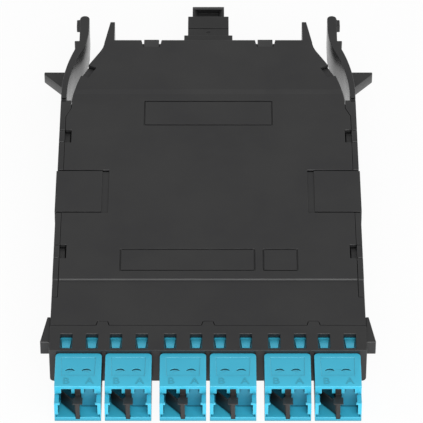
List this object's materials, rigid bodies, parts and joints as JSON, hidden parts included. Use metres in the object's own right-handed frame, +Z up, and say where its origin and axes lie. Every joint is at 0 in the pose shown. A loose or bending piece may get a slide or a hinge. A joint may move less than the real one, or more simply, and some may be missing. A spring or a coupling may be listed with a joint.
{
  "type": "fibre cassette",
  "caption": "Slim fibre-optic patching cassette: black tray with its fitted cover, duplex LC adapters with shutters in front, a capped MPO adapter and release arms at the rear.",
  "frame": {"origin": "centre of the tray's underside, midway between its front frame and its rear wall", "axes": "+Y to the rear, where the MPO adapter is; +Z up through the cover; +X to the right seen from the front"},
  "size_m": [0.0998, 0.1766, 0.0122],
  "materials": {
    "shell": "fine matt moulded texture",
    "aqua_plastic": "smooth satin moulding",
    "black_insert": "smooth moulding",
    "ceramic": "polished white zirconia",
    "plug_plastic": "smooth moulding",
    "boot": "matt",
    "adapter_black": "smooth moulding",
    "cap_black": "soft matt",
    "fibre_jacket": "smooth jacket"
  },
  "bodies": {
    "housing": {"base_shell": "shell", "top_cover": "shell", "lc_adapter_1": "aqua_plastic", "lc_adapter_2": "aqua_plastic", "lc_adapter_3": "aqua_plastic", "lc_adapter_4": "aqua_plastic", "lc_adapter_5": "aqua_plastic", "lc_adapter_6": "aqua_plastic", "port_divider_1": "black_insert", "port_divider_2": "black_insert", "port_divider_3": "black_insert", "port_divider_4": "black_insert", "port_divider_5": "black_insert", "port_divider_6": "black_insert", "alignment_sleeves_1": "ceramic", "alignment_sleeves_2": "ceramic", "alignment_sleeves_3": "ceramic", "alignment_sleeves_4": "ceramic", "alignment_sleeves_5": "ceramic", "alignment_sleeves_6": "ceramic", "lc_plug_1": "plug_plastic", "lc_plug_2": "plug_plastic", "lc_plug_3": "plug_plastic", "lc_plug_4": "plug_plastic", "lc_plug_5": "plug_plastic", "lc_plug_6": "plug_plastic", "lc_ferrules_1": "ceramic", "lc_ferrules_2": "ceramic", "lc_ferrules_3": "ceramic", "lc_ferrules_4": "ceramic", "lc_ferrules_5": "ceramic", "lc_ferrules_6": "ceramic", "lc_boots": "boot", "mpo_adapter_outer": "adapter_black", "mpo_adapter_inner": "adapter_black", "mpo_plug": "plug_plastic", "mpo_ferrule": "black_insert", "mpo_boot": "boot", "fibre_trunk": "fibre_jacket", "fan_out_block": "black_insert", "fibre_fan": "fibre_jacket"},
    "arm_left": {"release_arm_left": "shell"},
    "arm_right": {"release_arm_right": "shell"},
    "dust_cap": {"mpo_dust_cap": "cap_black"},
    "leaf_a_1": {"shutter_a_1": "aqua_plastic"},
    "leaf_b_1": {"shutter_b_1": "black_insert"},
    "leaf_a_2": {"shutter_a_2": "aqua_plastic"},
    "leaf_b_2": {"shutter_b_2": "black_insert"},
    "leaf_a_3": {"shutter_a_3": "aqua_plastic"},
    "leaf_b_3": {"shutter_b_3": "black_insert"},
    "leaf_a_4": {"shutter_a_4": "aqua_plastic"},
    "leaf_b_4": {"shutter_b_4": "black_insert"},
    "leaf_a_5": {"shutter_a_5": "aqua_plastic"},
    "leaf_b_5": {"shutter_b_5": "black_insert"},
    "leaf_a_6": {"shutter_a_6": "aqua_plastic"},
    "leaf_b_6": {"shutter_b_6": "black_insert"}
  },
  "joints": [
    {"name": "left_arm_squeeze", "type": "hinge", "parent": "housing", "child": "arm_left", "pos_m": [-0.0433, 0.0408, 0.0061], "axis": [0, 0, -1], "range_deg": [0, 5], "stiffness_Nm_per_rad": 1},
    {"name": "right_arm_squeeze", "type": "hinge", "parent": "housing", "child": "arm_right", "pos_m": [0.0433, 0.0408, 0.0061], "axis": [0, 0, 1], "range_deg": [0, 5], "stiffness_Nm_per_rad": 1},
    {"name": "dust_cap_pull", "type": "slide", "parent": "housing", "child": "dust_cap", "axis": [0, 1, 0], "range_m": [0, 0.012]},
    {"name": "shutter_a_1_fold", "type": "hinge", "parent": "housing", "child": "leaf_a_1", "pos_m": [-0.03029, -0.08165, 0.0052], "axis": [0, 0, -1], "range_deg": [0, 88], "stiffness_Nm_per_rad": 0.0001, "springref_deg": -11.46},
    {"name": "shutter_b_1_fold", "type": "hinge", "parent": "housing", "child": "leaf_b_1", "pos_m": [-0.03649, -0.08495, 0.0052], "axis": [0, 0, -1], "range_deg": [0, 41], "stiffness_Nm_per_rad": 0.0001, "springref_deg": -11.46},
    {"name": "shutter_a_2_fold", "type": "hinge", "parent": "housing", "child": "leaf_a_2", "pos_m": [-0.01645, -0.08165, 0.0052], "axis": [0, 0, -1], "range_deg": [0, 88], "stiffness_Nm_per_rad": 0.0001, "springref_deg": -11.46},
    {"name": "shutter_b_2_fold", "type": "hinge", "parent": "housing", "child": "leaf_b_2", "pos_m": [-0.02264, -0.08495, 0.0052], "axis": [0, 0, -1], "range_deg": [0, 41], "stiffness_Nm_per_rad": 0.0001, "springref_deg": -11.46},
    {"name": "shutter_a_3_fold", "type": "hinge", "parent": "housing", "child": "leaf_a_3", "pos_m": [-0.00135, -0.08165, 0.0052], "axis": [0, 0, -1], "range_deg": [0, 88], "stiffness_Nm_per_rad": 0.0001, "springref_deg": -11.46},
    {"name": "shutter_b_3_fold", "type": "hinge", "parent": "housing", "child": "leaf_b_3", "pos_m": [-0.00754, -0.08495, 0.0052], "axis": [0, 0, -1], "range_deg": [0, 41], "stiffness_Nm_per_rad": 0.0001, "springref_deg": -11.46},
    {"name": "shutter_a_4_fold", "type": "hinge", "parent": "housing", "child": "leaf_a_4", "pos_m": [0.01251, -0.08165, 0.0052], "axis": [0, 0, -1], "range_deg": [0, 88], "stiffness_Nm_per_rad": 0.0001, "springref_deg": -11.46},
    {"name": "shutter_b_4_fold", "type": "hinge", "parent": "housing", "child": "leaf_b_4", "pos_m": [0.0063, -0.08495, 0.0052], "axis": [0, 0, -1], "range_deg": [0, 41], "stiffness_Nm_per_rad": 0.0001, "springref_deg": -11.46},
    {"name": "shutter_a_5_fold", "type": "hinge", "parent": "housing", "child": "leaf_a_5", "pos_m": [0.02761, -0.08165, 0.0052], "axis": [0, 0, -1], "range_deg": [0, 88], "stiffness_Nm_per_rad": 0.0001, "springref_deg": -11.46},
    {"name": "shutter_b_5_fold", "type": "hinge", "parent": "housing", "child": "leaf_b_5", "pos_m": [0.02141, -0.08495, 0.0052], "axis": [0, 0, -1], "range_deg": [0, 41], "stiffness_Nm_per_rad": 0.0001, "springref_deg": -11.46},
    {"name": "shutter_a_6_fold", "type": "hinge", "parent": "housing", "child": "leaf_a_6", "pos_m": [0.04145, -0.08165, 0.0052], "axis": [0, 0, -1], "range_deg": [0, 88], "stiffness_Nm_per_rad": 0.0001, "springref_deg": -11.46},
    {"name": "shutter_b_6_fold", "type": "hinge", "parent": "housing", "child": "leaf_b_6", "pos_m": [0.03526, -0.08495, 0.0052], "axis": [0, 0, -1], "range_deg": [0, 41], "stiffness_Nm_per_rad": 0.0001, "springref_deg": -11.46}
  ]
}
